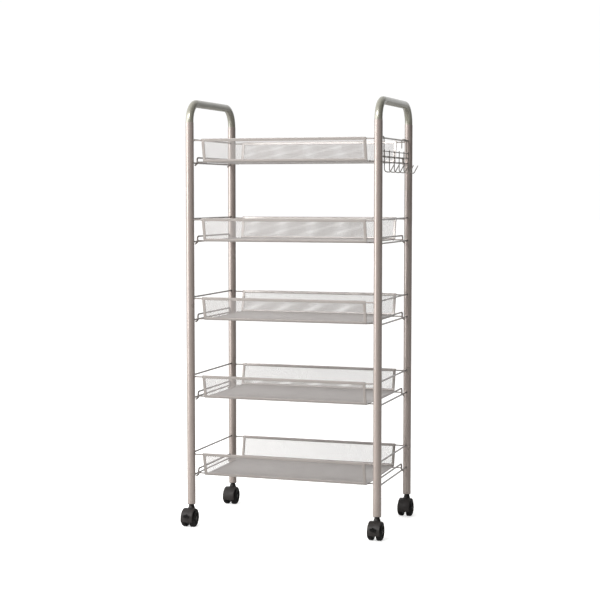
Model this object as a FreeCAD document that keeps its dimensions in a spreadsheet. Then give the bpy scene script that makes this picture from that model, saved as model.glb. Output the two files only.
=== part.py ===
"""Rolling pantry cart: five mesh trays between four round posts, on twin-wheel casters.

Frame: +Z up, +X to the cart's right, -Y to its front. The origin is on the floor, under the
middle of the whole cart with its hook rack. Lengths are millimetres. Every driving size is a
cell of the sheet "Sizes", and the pieces are bound to those cells by expressions.
"""
import FreeCAD, Part
import math
import os

import Sketcher

SIZES = {
    # the frame
    "post_spacing_x": 474, "post_spacing_y": 286, "post_diameter": 20, "post_wall": 1.2,
    "post_foot": 55, "post_top": 990, "shift_x": -7.22, "shift_y": 15.25,
    # the push handles
    "handle_diameter": 19, "handle_bend": 45, "handle_neck": 1.5, "spigot_length": 25,
    "spigot_play": 0.05,
    # the trays, and the rods and wires that carry them
    "first_rim": 182, "tier_pitch": 192, "tray_length": 414, "tray_height": 57,
    "rim_spread": 286, "floor_spread": 260, "band_width": 7, "band_thickness": 2.4,
    "mesh_thickness": 1.0, "hem": 1.0, "rod_diameter": 4, "rod_below_rim": 1.5,
    "lower_rod_below_rim": 58, "tie_diameter": 3.2, "rim_tie_below_rim": 4,
    "guard_inset": 6, "guard_spread": 222, "guard_below_rim": 45, "guard_foot_below_rim": 59.5,
    "guard_toe_below_rim": 63.5, "guard_toe_reach": 5.2, "guard_bend": 7, "guard_ankle": 2.5,
    # the hook rack on the right side
    "rack_wire": 2.4, "rack_stand_off": 7, "rack_weld": 0.4, "rack_top_below_rim": 33,
    "rack_bottom_below_rim": 45, "rack_width": 240, "hook_pitch": 46, "hook_drop": 82,
    "hook_floor": 14, "hook_reach": 24, "hook_tip_rise": 18, "hook_bend": 8,
    "hanger_spread": 212, "hanger_play": 0.3, "hanger_reach": 8, "hanger_tail": 18,
    # the casters
    "wheel_radius": 21, "wheel_width": 13, "wheel_inner_x": 4.6, "tread_round": 2.2,
    "shoulder_round": 5.5, "dish_radius": 14, "dish_depth": 1.4, "hub_radius": 6, "wheel_cap": 2,
    "axle_radius": 3, "axle_end_gap": 0.3, "running_play": 0.05, "axle_offset": 12,
    "hood_radius": 24.5, "hood_well": 22.2, "hood_width": 31, "web_width": 8.4,
    "hood_round": 2, "hood_skirt": 14.5, "hood_rear_skirt": 17, "neck_radius": 9,
    "neck_shoulder": 43, "neck_top_radius": 5.6, "neck_top": 53.6, "stem_radius": 4,
    "stem_foot": 42, "stem_top": 86, "socket_flange_radius": 9.6, "socket_flange": 1,
    "socket_depth": 34, "socket_cap": 3,
    # the brake levers of the front casters
    "lever_y": -27, "lever_z": 31, "lever_arm_width": 4.8, "lever_arm_thickness": 4,
    "lever_arm_back": 2.4, "lever_tab_inner": 10, "lever_tab_outer": 16, "lever_tab_width": 13,
    "lever_tab_drop": 2.6, "lever_pin_radius": 1.2, "lever_pin_length": 8,
    "slot_width": 5.2, "slot_bottom": 25.5, "slot_top": 34, "slot_back_y": -24,
}
TIERS = 5
HOOKS = 6
CORNERS = {"front_left": (-1, -1), "front_right": (1, -1), "rear_left": (-1, 1), "rear_right": (1, 1)}
SIDES = {"left": -1, "right": 1}
UP = FreeCAD.Vector(0, 0, 1)

doc = FreeCAD.newDocument("RollingPantryCart")
nodes = []


# ---------------------------------------------------------------- sizes and expressions

class Size:
    """A length that knows both its number and the expression on the sheet that gives it."""

    def __init__(self, value, text):
        self.value = float(value)
        self.text = text

    def _with(self, other, sign, value):
        return Size(value, f"({self.text} {sign} {other.text})")

    def __add__(self, other):
        other = sized(other)
        return self._with(other, "+", self.value + other.value)

    def __sub__(self, other):
        other = sized(other)
        return self._with(other, "-", self.value - other.value)

    def __mul__(self, other):
        other = sized(other)
        return self._with(other, "*", self.value * other.value)

    def __truediv__(self, other):
        other = sized(other)
        return self._with(other, "/", self.value / other.value)

    def __rsub__(self, other):
        return sized(other) - self

    def __neg__(self):
        return 0 - self

    __radd__ = __add__
    __rmul__ = __mul__


def sized(thing):
    """Any number or Size as a Size."""
    return thing if isinstance(thing, Size) else Size(thing, repr(float(thing)))


def root(size):
    """The square root of a Size."""
    return Size(math.sqrt(size.value), f"sqrt({size.text})")


def size(alias):
    """The driving size of that name, bound to its cell."""
    return Size(SIZES[alias], f"Sizes.{alias}")


def make_sheet():
    """Put every driving size in the sheet as a plain number with its alias."""
    sheet = doc.addObject("Spreadsheet::Sheet", "Sizes")
    for row, (alias, value) in enumerate(SIZES.items(), start=1):
        sheet.set(f"A{row}", alias)
        sheet.set(f"B{row}", str(value))
        sheet.setAlias(f"B{row}", alias)
    doc.recompute()
    return sheet


def bind(thing, prop, length):
    """Give a property its number and its expression."""
    thing.setExpression(prop, sized(length).text)


def stand(piece, x=0, y=0, z=0):
    """Place a finished piece: its own offset plus the shift that centres the whole cart."""
    spot = (size("shift_x") + x, size("shift_y") + y, sized(z))
    place = FreeCAD.Vector(*(length.value for length in spot))
    piece.Placement = FreeCAD.Placement(place, FreeCAD.Rotation())
    for axis, length in zip("xyz", spot):
        if piece.TypeId != "Part::Feature":
            bind(piece, f"Placement.Base.{axis}", length)


def finish_node(piece, name, x=0, y=0, z=0):
    """Name a piece after its node, stand it in place and list it for export."""
    piece.Label = name
    stand(piece, x, y, z)
    nodes.append(piece)


# ---------------------------------------------------------------- sketches and features

def new_body(name):
    return doc.addObject("PartDesign::Body", name)


def new_sketch(body, role, offset=0):
    """A sketch on one of its body's origin planes, moved along the plane's normal by offset."""
    sketch = body.newObject("Sketcher::SketchObject", "Sketch")
    plane = next(feature for feature in body.Origin.OriginFeatures if feature.Role == role)
    sketch.AttachmentSupport = [(plane, "")]
    sketch.MapMode = "FlatFace"
    offset = sized(offset)
    sketch.AttachmentOffset = FreeCAD.Placement(UP * offset.value, FreeCAD.Rotation())
    bind(sketch, "AttachmentOffset.Base.z", offset)
    return sketch


def fix_point(sketch, edge, end, x, y):
    """Hold one point of the sketch at x, y from the sketch's origin."""
    for kind, length, axis in (("DistanceX", sized(x), -2), ("DistanceY", sized(y), -1)):
        if abs(length.value) < 1e-9:
            sketch.addConstraint(Sketcher.Constraint("PointOnObject", edge, end, axis))
            continue
        if length.value > 0:
            number = sketch.addConstraint(Sketcher.Constraint(kind, -1, 1, edge, end, length.value))
        else:
            length = -length
            number = sketch.addConstraint(Sketcher.Constraint(kind, edge, end, -1, 1, length.value))
        bind(sketch, f"Constraints[{number}]", length)


def draw_polygon(sketch, points):
    """A closed outline of straight edges through the points."""
    corners = [FreeCAD.Vector(sized(x).value, sized(y).value, 0) for x, y in points]
    first = sketch.GeometryCount
    for start, end in zip(corners, corners[1:] + corners[:1]):
        sketch.addGeometry(Part.LineSegment(start, end), False)
    for number, (x, y) in enumerate(points):
        following = (number + 1) % len(points)
        sketch.addConstraint(Sketcher.Constraint("Coincident", first + number, 2, first + following, 1))
        fix_point(sketch, first + number, 1, x, y)


def draw_rectangle(sketch, low_x, low_y, high_x, high_y):
    draw_polygon(sketch, [(low_x, low_y), (high_x, low_y), (high_x, high_y), (low_x, high_y)])


def draw_circle(sketch, x, y, radius):
    centre = FreeCAD.Vector(sized(x).value, sized(y).value, 0)
    circle = sketch.addGeometry(Part.Circle(centre, UP, sized(radius).value), False)
    fix_point(sketch, circle, 3, x, y)
    number = sketch.addConstraint(Sketcher.Constraint("Radius", circle, sized(radius).value))
    bind(sketch, f"Constraints[{number}]", radius)


def solid_volume(body):
    doc.recompute()
    return body.Shape.Volume


def extrude(body, sketch, length, both_ways=False, backwards=False):
    """Pad the sketch along its normal, or to both sides of its plane."""
    feature = body.newObject("PartDesign::Pad", "Pad")
    feature.Profile = sketch
    feature.SideType = "Symmetric" if both_ways else "One side"
    feature.Reversed = backwards
    bind(feature, "Length", length)
    doc.recompute()
    return feature


def cut(body, sketch, length, both_ways=False, along_normal=False):
    """Pocket the sketch against its normal, along it, or both ways; it has to remove something."""
    before = solid_volume(body)
    feature = body.newObject("PartDesign::Pocket", "Pocket")
    feature.Profile = sketch
    feature.SideType = "Symmetric" if both_ways else "One side"
    feature.Reversed = along_normal
    bind(feature, "Length", length)
    if not solid_volume(body) < before - 1e-6:
        raise RuntimeError(f"a pocket of {body.Name} removes nothing")
    return feature


def turn(body, sketch, axis):
    """Revolve the sketch a full turn about one of its own axes."""
    feature = body.newObject("PartDesign::Revolution", "Revolution")
    feature.Profile = sketch
    feature.ReferenceAxis = (sketch, [axis])
    feature.Angle = 360
    doc.recompute()
    return feature


def round_edges(body, feature, radius, wanted):
    """Fillet the edges of a feature that the test picks."""
    names = [f"Edge{number}" for number, edge in enumerate(feature.Shape.Edges, start=1) if wanted(edge)]
    fillet = body.newObject("PartDesign::Fillet", "Fillet")
    fillet.Base = (feature, names)
    bind(fillet, "Radius", radius)
    doc.recompute()
    return fillet


# ---------------------------------------------------------------- bent wire

def bent_path(points, bends):
    """Straight runs through the points, joined at each inner point by an arc of its own radius."""
    spots = [FreeCAD.Vector(*point) for point in points]
    edges = []
    start = spots[0]
    for before, corner, after, bend in zip(spots, spots[1:], spots[2:], bends):
        back = (before - corner).normalize()
        on = (after - corner).normalize()
        half = back.getAngle(on) / 2
        setback = bend / math.tan(half)
        enter = corner + back * setback
        leave = corner + on * setback
        centre = corner + (back + on).normalize() * (bend / math.sin(half))
        middle = centre + (corner - centre).normalize() * bend
        edges += [Part.LineSegment(start, enter).toShape(), Part.Arc(enter, middle, leave).toShape()]
        start = leave
    edges.append(Part.LineSegment(start, spots[-1]).toShape())
    return Part.Wire(edges)


def round_wire(path, diameter):
    """A solid round wire along a path, checked against its section times its length."""
    first = path.Edges[0]
    start = first.valueAt(first.FirstParameter)
    along = first.tangentAt(first.FirstParameter)
    ring = Part.Wire(Part.makeCircle(diameter / 2, start, along))
    wire = path.makePipeShell([ring], True, True)
    expected = math.pi * diameter ** 2 / 4 * path.Length
    if abs(wire.Volume / expected - 1) > 0.01:
        raise RuntimeError(f"a bent wire has volume {wire.Volume:.1f}, not {expected:.1f}")
    return wire


def wire_node(name, solids, z=0):
    """One node from wire solids that are set by Part's own functions."""
    piece = doc.addObject("Part::Feature", name)
    piece.Shape = Part.makeCompound(solids) if len(solids) > 1 else solids[0]
    finish_node(piece, name, z=z)


# ---------------------------------------------------------------- frame

def make_post(corner, side, end):
    """A round steel tube from the caster socket to the handle."""
    body = new_body(f"{corner}_post")
    ring = new_sketch(body, "XY_Plane", size("post_foot"))
    draw_circle(ring, 0, 0, size("post_diameter") / 2)
    draw_circle(ring, 0, 0, post_bore())
    extrude(body, ring, size("post_top") - size("post_foot"))
    finish_node(body, f"{corner}_post", post_x() * side, post_y() * end)


def post_x():
    return size("post_spacing_x") / 2


def post_y():
    return size("post_spacing_y") / 2


def post_bore():
    return size("post_diameter") / 2 - size("post_wall")


def make_handle(side_name, side):
    """An inverted U of tube over both posts of one side, with a spigot down into each post."""
    body = new_body(f"{side_name}_handle")
    bend = size("handle_bend")
    foot = size("post_top")
    shoulder = foot + size("handle_neck")
    crown = shoulder + bend
    flat = post_y() - bend
    spine = new_sketch(body, "YZ_Plane")
    stops = [(-post_y(), foot), (-post_y(), shoulder), (-flat, crown), (flat, crown),
             (post_y(), shoulder), (post_y(), foot)]
    spots = [FreeCAD.Vector(y.value, z.value, 0) for y, z in stops]
    middle = bend.value * (1 - math.sqrt(0.5))
    spine.addGeometry(Part.LineSegment(spots[0], spots[1]), False)
    spine.addGeometry(Part.ArcOfCircle(
        spots[1], FreeCAD.Vector(-post_y().value + middle, crown.value - middle, 0), spots[2]), False)
    spine.addGeometry(Part.LineSegment(spots[2], spots[3]), False)
    spine.addGeometry(Part.ArcOfCircle(
        spots[3], FreeCAD.Vector(post_y().value - middle, crown.value - middle, 0), spots[4]), False)
    spine.addGeometry(Part.LineSegment(spots[4], spots[5]), False)
    for line, (first, last) in ((0, stops[0:2]), (2, stops[2:4]), (4, stops[4:6])):
        fix_point(spine, line, 1, *first)
        fix_point(spine, line, 2, *last)
    doc.recompute()
    ring = new_sketch(body, "XY_Plane", foot)
    draw_circle(ring, 0, -post_y(), size("handle_diameter") / 2)
    draw_circle(ring, 0, -post_y(), size("handle_diameter") / 2 - size("post_wall"))
    pipe = body.newObject("PartDesign::AdditivePipe", "Pipe")
    pipe.Profile = ring
    pipe.Spine = spine
    doc.recompute()
    rings = new_sketch(body, "XY_Plane", foot)
    for end in (-1, 1):
        spigot = post_bore() - size("spigot_play")
        draw_circle(rings, 0, post_y() * end, spigot)
        draw_circle(rings, 0, post_y() * end, spigot - size("post_wall"))
    extrude(body, rings, size("spigot_length"), backwards=True)
    finish_node(body, f"{side_name}_handle", post_x() * side)


def make_rods(side_name, side, kind, below_rim):
    """Straight rods welded from the front post to the rear post of one side, one at each tier."""
    length = size("post_spacing_y") - size("post_diameter")
    rods = []
    for tier in range(TIERS):
        rod = doc.addObject("Part::Cylinder", "Rod")
        bind(rod, "Radius", size("rod_diameter") / 2)
        bind(rod, "Height", length)
        height = rim_height(tier) - below_rim
        along_y = FreeCAD.Rotation(FreeCAD.Vector(1, 0, 0), -90)
        rod.Placement = FreeCAD.Placement(FreeCAD.Vector(0, -length.value / 2, height.value), along_y)
        bind(rod, "Placement.Base.y", -length / 2)
        bind(rod, "Placement.Base.z", height)
        rods.append(rod)
    group = doc.addObject("Part::Compound", f"{side_name}_{kind}_rods")
    group.Links = rods
    finish_node(group, f"{side_name}_{kind}_rods", post_x() * side)


def rim_height(tier):
    return size("first_rim") + size("tier_pitch") * tier


# ---------------------------------------------------------------- trays

def wall_slope():
    """How far a tray's wall leans out for each millimetre that it rises."""
    rise = size("tray_height") - size("band_thickness") / 2
    return (size("rim_spread") - size("floor_spread")) / 2 / rise


def folded_profile(sketch, thickness, top):
    """The section of a sheet folded into a floor and two walls that lean outwards.

    z is measured from the rim. The middle of the sheet passes through the rim spread at the rim
    and the floor spread at the middle of the floor.
    """
    half = thickness / 2
    floor = size("band_thickness") / 2 - size("tray_height")
    slope = wall_slope()
    lean = half * root(slope * slope + 1)

    def wall(z, offset):
        return size("rim_spread") / 2 + slope * z + offset

    section = [(wall(top, lean), top), (wall(floor - half, lean), floor - half),
               (wall(floor + half, -lean), floor + half), (wall(top, -lean), top)]
    outer, inner = section[:2], section[2:]
    mirrored = [(-y, z) for y, z in reversed(outer)]
    mirrored_inner = [(-y, z) for y, z in reversed(inner)]
    draw_polygon(sketch, outer + mirrored + mirrored_inner + inner)


def make_tray_mesh(tier):
    """The folded sheet of steel mesh: floor, front and rear, as a thin solid."""
    body = new_body(f"tier_{tier + 1}_tray_mesh")
    section = new_sketch(body, "YZ_Plane")
    folded_profile(section, size("mesh_thickness"), -size("hem"))
    extrude(body, section, size("tray_length") - size("hem") * 2, both_ways=True)
    finish_node(body, f"tier_{tier + 1}_tray_mesh", z=rim_height(tier))


def make_tray_bands(tier):
    """The flat steel bands that hem the mesh along its rims, corners, folds and open ends."""
    body = new_body(f"tier_{tier + 1}_tray_bands")
    section = new_sketch(body, "YZ_Plane")
    folded_profile(section, size("band_thickness"), sized(0))
    extrude(body, section, size("tray_length"), both_ways=True)
    half_window = size("tray_length") / 2 - size("band_width")
    walls = new_sketch(body, "XZ_Plane")
    draw_rectangle(walls, -half_window, size("band_width") - size("tray_height"),
                   half_window, -size("band_width"))
    cut(body, walls, size("rim_spread") * 2, both_ways=True)
    floor = new_sketch(body, "XY_Plane", -size("tray_height"))
    half_floor = size("floor_spread") / 2 - size("band_width")
    draw_rectangle(floor, -half_window, -half_floor, half_window, half_floor)
    cut(body, floor, size("band_thickness") * 3, both_ways=True)
    slot = new_sketch(body, "YZ_Plane")
    folded_profile(slot, size("mesh_thickness"), -size("hem"))
    cut(body, slot, size("tray_length") - size("hem") * 2, both_ways=True)
    finish_node(body, f"tier_{tier + 1}_tray_bands", z=rim_height(tier))


def make_guard_wires(tier):
    """One bent wire at each open end of a tray: a low guard whose feet toe in under the lower rods."""
    across = (post_x() - size("guard_inset")).value
    along = size("guard_spread").value / 2
    top = -size("guard_below_rim").value
    foot = -size("guard_foot_below_rim").value
    toe = -size("guard_toe_below_rim").value
    reach = across + size("guard_toe_reach").value
    bend, ankle = size("guard_bend").value, size("guard_ankle").value
    solids = []
    for side in SIDES.values():
        points = [(side * reach, -along, toe), (side * across, -along, foot), (side * across, -along, top),
                  (side * across, along, top), (side * across, along, foot), (side * reach, along, toe)]
        path = bent_path(points, [ankle, bend, bend, ankle])
        solids.append(round_wire(path, size("rod_diameter").value))
    wire_node(f"tier_{tier + 1}_guard_wires", solids, z=rim_height(tier))


def make_tie_wires(tier):
    """Eight short wires: the rims out to the posts, and the floor's ends out to the guard wires."""
    radius = size("tie_diameter") / 2
    tray_end = size("tray_length") / 2
    rim_length = post_x() - size("post_diameter") / 2 - tray_end
    foot_length = post_x() - size("guard_inset") - size("rod_diameter") / 2 - tray_end
    foot_z = size("band_thickness") / 2 - size("tray_height")
    rim_y = size("rim_spread") / 2 - wall_slope() * size("rim_tie_below_rim")
    wires = []
    for length, y, z in ((rim_length, rim_y, -size("rim_tie_below_rim")),
                         (foot_length, size("guard_spread") / 2, foot_z)):
        for side in SIDES.values():
            for end in (-1, 1):
                tie = doc.addObject("Part::Cylinder", "Tie")
                bind(tie, "Radius", radius)
                bind(tie, "Height", length)
                spot = (tray_end * side, y * end, z)
                tie.Placement = FreeCAD.Placement(
                    FreeCAD.Vector(*(item.value for item in spot)),
                    FreeCAD.Rotation(FreeCAD.Vector(0, 1, 0), 90 * side))
                for axis, item in zip("xyz", spot):
                    bind(tie, f"Placement.Base.{axis}", item)
                wires.append(tie)
    group = doc.addObject("Part::Compound", f"tier_{tier + 1}_tie_wires")
    group.Links = wires
    finish_node(group, f"tier_{tier + 1}_tie_wires", z=rim_height(tier))


# ---------------------------------------------------------------- hook rack

def make_hook_rack():
    """A welded wire rack hung over the right top rod: two hangers, two rails and a row of hooks."""
    wire = size("rack_wire").value
    rim = rim_height(TIERS - 1).value
    stem_x = post_x().value + size("rack_stand_off").value
    rail_x = stem_x - wire + size("rack_weld").value
    top = rim - size("rack_top_below_rim").value
    bottom = rim - size("rack_bottom_below_rim").value
    half = size("rack_width").value / 2
    solids = []
    for z in (top, bottom):
        solids.append(Part.makeCylinder(wire / 2, 2 * half, FreeCAD.Vector(rail_x, -half, z),
                                        FreeCAD.Vector(0, 1, 0)))
    low = rim - size("hook_drop").value
    floor_x = stem_x + size("hook_floor").value
    tip_x = stem_x + size("hook_reach").value
    tip_z = low + size("hook_tip_rise").value
    for number in range(HOOKS):
        y = (number - (HOOKS - 1) / 2) * size("hook_pitch").value
        points = [(stem_x, y, top + wire), (stem_x, y, low), (floor_x, y, low), (tip_x, y, tip_z)]
        bend = size("hook_bend").value
        solids.append(round_wire(bent_path(points, [bend, bend / 2]), wire))
    rod_x, rod_z = post_x().value, rim - size("rod_below_rim").value
    loop = size("rod_diameter").value / 2 + size("hanger_play").value + wire / 2
    tail_x, tail_z = rod_x - size("hanger_reach").value, rod_z - size("hanger_tail").value
    for side in (-1, 1):
        y = side * size("hanger_spread").value / 2
        points = [(rod_x + loop, y, bottom - wire), (rod_x + loop, y, rod_z + loop),
                  (tail_x, y, rod_z + loop), (tail_x, y, tail_z)]
        solids.append(round_wire(bent_path(points, [loop, loop]), wire))
    rack = solids[0].multiFuse(solids[1:])
    if len(rack.Solids) != 1:
        raise RuntimeError(f"the hook rack is {len(rack.Solids)} solids")
    wire_node("hook_rack", [rack.Solids[0]])


# ---------------------------------------------------------------- casters

def make_socket(corner, side, end):
    """The plastic plug in the foot of a post, with a flange below the tube and a blind bore."""
    body = new_body(f"{corner}_socket")
    foot = size("post_foot")
    outline = new_sketch(body, "XZ_Plane")
    outer = post_bore() - size("spigot_play")
    bore = size("stem_radius") + size("running_play")
    low, roof = foot - size("socket_flange"), foot + size("socket_depth")
    draw_polygon(outline, [
        (bore, low), (size("socket_flange_radius"), low), (size("socket_flange_radius"), foot),
        (outer, foot), (outer, roof + size("socket_cap")), (0, roof + size("socket_cap")), (0, roof),
        (bore, roof)])
    turn(body, outline, "V_Axis")
    finish_node(body, f"{corner}_socket", post_x() * side, post_y() * end)


def make_stem(corner, side, end):
    """The steel pin that is pressed into the hood and turns in the socket."""
    body = new_body(f"{corner}_stem")
    disc = new_sketch(body, "XY_Plane", size("stem_foot"))
    draw_circle(disc, 0, 0, size("stem_radius"))
    extrude(body, disc, size("stem_top") - size("stem_foot"))
    finish_node(body, f"{corner}_stem", post_x() * side, post_y() * end)


def make_axle(corner, side, end):
    """The steel axle through the hood's web, with a wheel on each end."""
    body = new_body(f"{corner}_axle")
    disc = new_sketch(body, "YZ_Plane")
    draw_circle(disc, -size("axle_offset"), size("wheel_radius"), size("axle_radius"))
    reach = size("wheel_inner_x") + size("wheel_width") - size("wheel_cap") - size("axle_end_gap")
    extrude(body, disc, reach * 2, both_ways=True)
    finish_node(body, f"{corner}_axle", post_x() * side, post_y() * end)


def make_hood(corner, side, end, braked):
    """The moulded hood: a round cover over both wheels, a web between them and a neck for the stem."""
    body = new_body(f"{corner}_hood")
    axle_y, axle_z = -size("axle_offset"), size("wheel_radius")
    drum = new_sketch(body, "YZ_Plane")
    draw_circle(drum, axle_y, axle_z, size("hood_radius"))
    cover = extrude(body, drum, size("hood_width"), both_ways=True)
    radius = size("hood_radius").value
    round_edges(body, cover, size("hood_round"),
                lambda edge: isinstance(edge.Curve, Part.Circle) and abs(edge.Curve.Radius - radius) < 0.01)
    neck = new_sketch(body, "XZ_Plane")
    root_z = size("wheel_radius") + size("axle_radius") * 2
    draw_polygon(neck, [
        (0, root_z), (size("neck_radius"), root_z),
        (size("neck_radius"), size("neck_shoulder")), (size("neck_top_radius"), size("neck_top")),
        (0, size("neck_top"))])
    turn(body, neck, "V_Axis")
    far = size("hood_radius") * 3
    skirt = new_sketch(body, "YZ_Plane")
    draw_polygon(skirt, [
        (-far, -far), (far, -far), (far, size("hood_rear_skirt")), (axle_y, size("hood_rear_skirt")),
        (axle_y - size("hood_skirt"), size("hood_skirt")), (-far, size("hood_skirt"))])
    cut(body, skirt, far, both_ways=True)
    for direction in (-1, 1):
        well = new_sketch(body, "YZ_Plane", size("web_width") / 2 * direction)
        draw_circle(well, axle_y, axle_z, size("hood_well"))
        cut(body, well, size("hood_width"), along_normal=direction > 0)
    bore = new_sketch(body, "YZ_Plane")
    draw_circle(bore, axle_y, axle_z, size("axle_radius"))
    cut(body, bore, size("web_width") * 2, both_ways=True)
    socket = new_sketch(body, "XY_Plane", size("neck_top"))
    draw_circle(socket, 0, 0, size("stem_radius"))
    cut(body, socket, size("neck_top") - size("stem_foot"))
    if braked:
        cut_lever_slot(body)
    finish_node(body, f"{corner}_hood", post_x() * side, post_y() * end)


def cut_lever_slot(body):
    """Open the front of a hood for the brake lever, and bore its web for the lever's pin."""
    slot = new_sketch(body, "XZ_Plane", -size("slot_back_y"))
    half = size("slot_width") / 2
    draw_rectangle(slot, -half, size("slot_bottom"), half, size("slot_top"))
    cut(body, slot, size("hood_radius"), along_normal=True)
    pin = new_sketch(body, "YZ_Plane")
    draw_circle(pin, size("lever_y"), size("lever_z"), size("lever_pin_radius") + size("running_play"))
    cut(body, pin, size("web_width") * 2, both_ways=True)


def make_lever(corner, side, end):
    """The brake lever: a foot tab in front of the hood on an arm that rocks on its own pin."""
    body = new_body(f"{corner}_brake_lever")
    y, z = size("lever_y"), size("lever_z")
    half = size("lever_arm_thickness") / 2
    arm = new_sketch(body, "YZ_Plane")
    draw_rectangle(arm, y - size("lever_tab_inner"), z - half, y + size("lever_arm_back"), z + half)
    extrude(body, arm, size("lever_arm_width"), both_ways=True)
    tab = new_sketch(body, "YZ_Plane")
    inner, outer = y - size("lever_tab_inner"), y - size("lever_tab_outer")
    draw_polygon(tab, [(outer, z - size("lever_tab_drop")), (inner, z - half), (inner, z + half),
                       (outer, z - size("lever_tab_drop") + half)])
    extrude(body, tab, size("lever_tab_width"), both_ways=True)
    pin = new_sketch(body, "YZ_Plane")
    draw_circle(pin, y, z, size("lever_pin_radius"))
    extrude(body, pin, size("lever_pin_length"), both_ways=True)
    finish_node(body, f"{corner}_brake_lever", post_x() * side, post_y() * end)


def make_wheel(corner, side, end, name, direction):
    """A moulded wheel with a rounded tread, a dished outer face and a blind bore for the axle."""
    body = new_body(f"{corner}_{name}_wheel")
    outline = new_sketch(body, "XY_Plane")
    inner = size("wheel_inner_x") * direction
    outer = (size("wheel_inner_x") + size("wheel_width")) * direction
    dish = outer - size("dish_depth") * direction
    cap = outer - size("wheel_cap") * direction
    radius, bore = size("wheel_radius"), size("axle_radius") + size("running_play")
    draw_polygon(outline, [
        (inner, bore), (inner, radius), (outer, radius), (outer, size("dish_radius")),
        (dish, size("dish_radius")), (dish, size("hub_radius")), (outer, size("hub_radius")),
        (outer, 0), (cap, 0), (cap, bore)])
    disc = turn(body, outline, "H_Axis")
    for face, rounding in ((outer, size("shoulder_round")), (inner, size("tread_round"))):
        disc = round_edges(body, disc, rounding, lambda edge: is_rim(edge, radius.value, face.value))
    finish_node(body, f"{corner}_{name}_wheel", post_x() * side,
                post_y() * end - size("axle_offset"), size("wheel_radius"))


def is_rim(edge, radius, x):
    """Whether an edge is the circle of that radius about the X axis at that x."""
    curve = edge.Curve
    return (isinstance(curve, Part.Circle) and abs(curve.Radius - radius) < 0.01
            and abs(curve.Center.x - x) < 0.01)


def make_caster(corner, side, end):
    braked = end < 0
    make_socket(corner, side, end)
    make_stem(corner, side, end)
    make_hood(corner, side, end, braked)
    make_axle(corner, side, end)
    for name, direction in SIDES.items():
        make_wheel(corner, side, end, name, direction)
    if braked:
        make_lever(corner, side, end)


# ---------------------------------------------------------------- checks and files

def check_document():
    """Stop if any object failed, or a node is not a set of valid solids."""
    doc.recompute()
    for item in doc.Objects:
        if {"Invalid", "Error"} & set(item.State):
            raise RuntimeError(f"{item.Name} of {item.getParentGeoFeatureGroup()} is {item.State}")
    for piece in nodes:
        if piece.Shape.isNull() or not piece.Shape.isValid() or not piece.Shape.Solids:
            raise RuntimeError(f"{piece.Label} has no valid solid")


def report_size():
    """Print the box of the whole cart, which the shift has to centre."""
    box = FreeCAD.BoundBox()
    for piece in nodes:
        box.add(piece.Shape.optimalBoundingBox(True, False))
    print(f"{len(nodes)} nodes, X {box.XMin:.2f} to {box.XMax:.2f}, Y {box.YMin:.2f} to {box.YMax:.2f}, "
          f"Z {box.ZMin:.2f} to {box.ZMax:.2f}")


def write_nodes():
    os.makedirs("parts", exist_ok=True)
    for piece in nodes:
        piece.Shape.exportStep(f"parts/{piece.Label}.step")


make_sheet()
for corner_name, (x_side, y_end) in CORNERS.items():
    make_post(corner_name, x_side, y_end)
    make_caster(corner_name, x_side, y_end)
for name_of_side, x_side in SIDES.items():
    make_handle(name_of_side, x_side)
    make_rods(name_of_side, x_side, "top", size("rod_below_rim"))
    make_rods(name_of_side, x_side, "lower", size("lower_rod_below_rim"))
for level in range(TIERS):
    make_tray_mesh(level)
    make_tray_bands(level)
    make_guard_wires(level)
    make_tie_wires(level)
make_hook_rack()
check_document()
report_size()
write_nodes()
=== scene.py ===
"""The looks of a rolling pantry cart: five mesh trays, round tube, twin-wheel casters, a hook rack."""
# %% [markdown]
# # A rolling pantry cart
# The cart is a light tower of painted steel: four tubes, five mesh trays, bent wire, and black casters.
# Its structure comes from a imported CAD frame, so this lesson only adds what the eye asks for: round
# wire ends, real expanded mesh, rolled steel bands, ribbed wheels, and paint that looks like paint.
# Everything is in metres, in the frame's own coordinates, so nothing has to be fitted afterwards.

# %% Load the frame
import math

import bmesh
import bpy
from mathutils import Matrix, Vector


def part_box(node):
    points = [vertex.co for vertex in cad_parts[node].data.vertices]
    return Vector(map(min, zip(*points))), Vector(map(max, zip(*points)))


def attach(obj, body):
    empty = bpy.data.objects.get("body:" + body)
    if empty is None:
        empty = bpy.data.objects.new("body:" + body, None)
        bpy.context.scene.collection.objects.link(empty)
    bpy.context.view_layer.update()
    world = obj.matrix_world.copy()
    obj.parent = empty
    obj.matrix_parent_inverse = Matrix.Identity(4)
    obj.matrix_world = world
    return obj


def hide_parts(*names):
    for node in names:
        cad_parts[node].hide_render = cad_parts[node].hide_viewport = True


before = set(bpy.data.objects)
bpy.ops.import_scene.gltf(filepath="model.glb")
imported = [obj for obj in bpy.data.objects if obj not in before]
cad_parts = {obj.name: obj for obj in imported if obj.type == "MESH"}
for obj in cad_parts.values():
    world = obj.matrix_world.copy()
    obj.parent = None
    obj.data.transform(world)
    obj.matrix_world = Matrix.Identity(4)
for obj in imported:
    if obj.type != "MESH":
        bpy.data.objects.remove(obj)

for name_of_default in ("Cube", "Light", "Camera"):
    if name_of_default in bpy.data.objects:
        bpy.data.objects.remove(bpy.data.objects[name_of_default])
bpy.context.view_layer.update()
MM = 0.001
TIERS = range(1, 6)
SIDES = ("left", "right")
CORNERS = [f"{end}_{side}" for end in ("front", "rear") for side in SIDES]

# %% [markdown]
# ## Adding nodes
# Shader trees and geometry trees are both built here in code. One small function adds a node, sets its
# properties, and fills or links its inputs. A value that is a socket is linked and anything else is
# written in, so each later line reads like a sentence about one node.


# %% One function that adds a node
def add(tree, kind, inputs=(), **settings):
    made = tree.nodes.new(kind)
    for setting, value in settings.items():
        setattr(made, setting, value)
    for key, value in dict(inputs).items():
        if isinstance(value, bpy.types.NodeSocket):
            tree.links.new(value, made.inputs[key])
        else:
            made.inputs[key].default_value = value
    return made


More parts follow.
